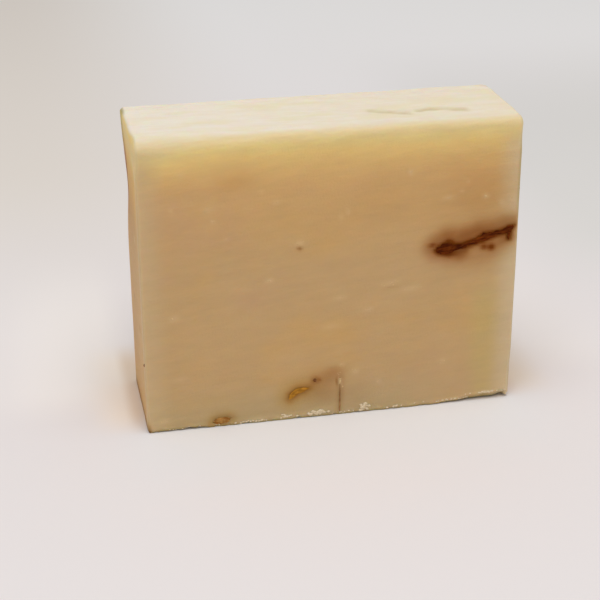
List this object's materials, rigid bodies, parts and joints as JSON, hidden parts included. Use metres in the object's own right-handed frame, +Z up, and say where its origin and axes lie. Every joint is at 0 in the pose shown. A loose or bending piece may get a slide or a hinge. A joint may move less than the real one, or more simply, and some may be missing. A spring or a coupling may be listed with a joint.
{
  "type": "bar of soap",
  "caption": "Hand-cut rectangular bar of soap standing on a long narrow face, with scraps of dried petal, a plant fibre and dark grains set in it.",
  "frame": {"origin": "middle of the long narrow face that the bar stands on", "axes": "+X along the bar, +Y from the cut face with the large petal to the other cut face, +Z up"},
  "size_m": [0.0794, 0.0254, 0.0635],
  "materials": {
    "soap": "waxy, slightly translucent, with a dry pale bloom on top",
    "brown_petal": "matt dried petal",
    "orange_petal": "matt dried petal",
    "plant_fibre": "matt",
    "dark_grain": "matt"
  },
  "bodies": {
    "root": {"soap_bar": "soap", "brown_petal": "brown_petal", "orange_petal": "orange_petal", "base_edge_petal": "brown_petal", "plant_fibre": "plant_fibre", "front_grain": "dark_grain", "left_end_grain": "dark_grain", "right_end_grain": "dark_grain"}
  },
  "joints": []
}
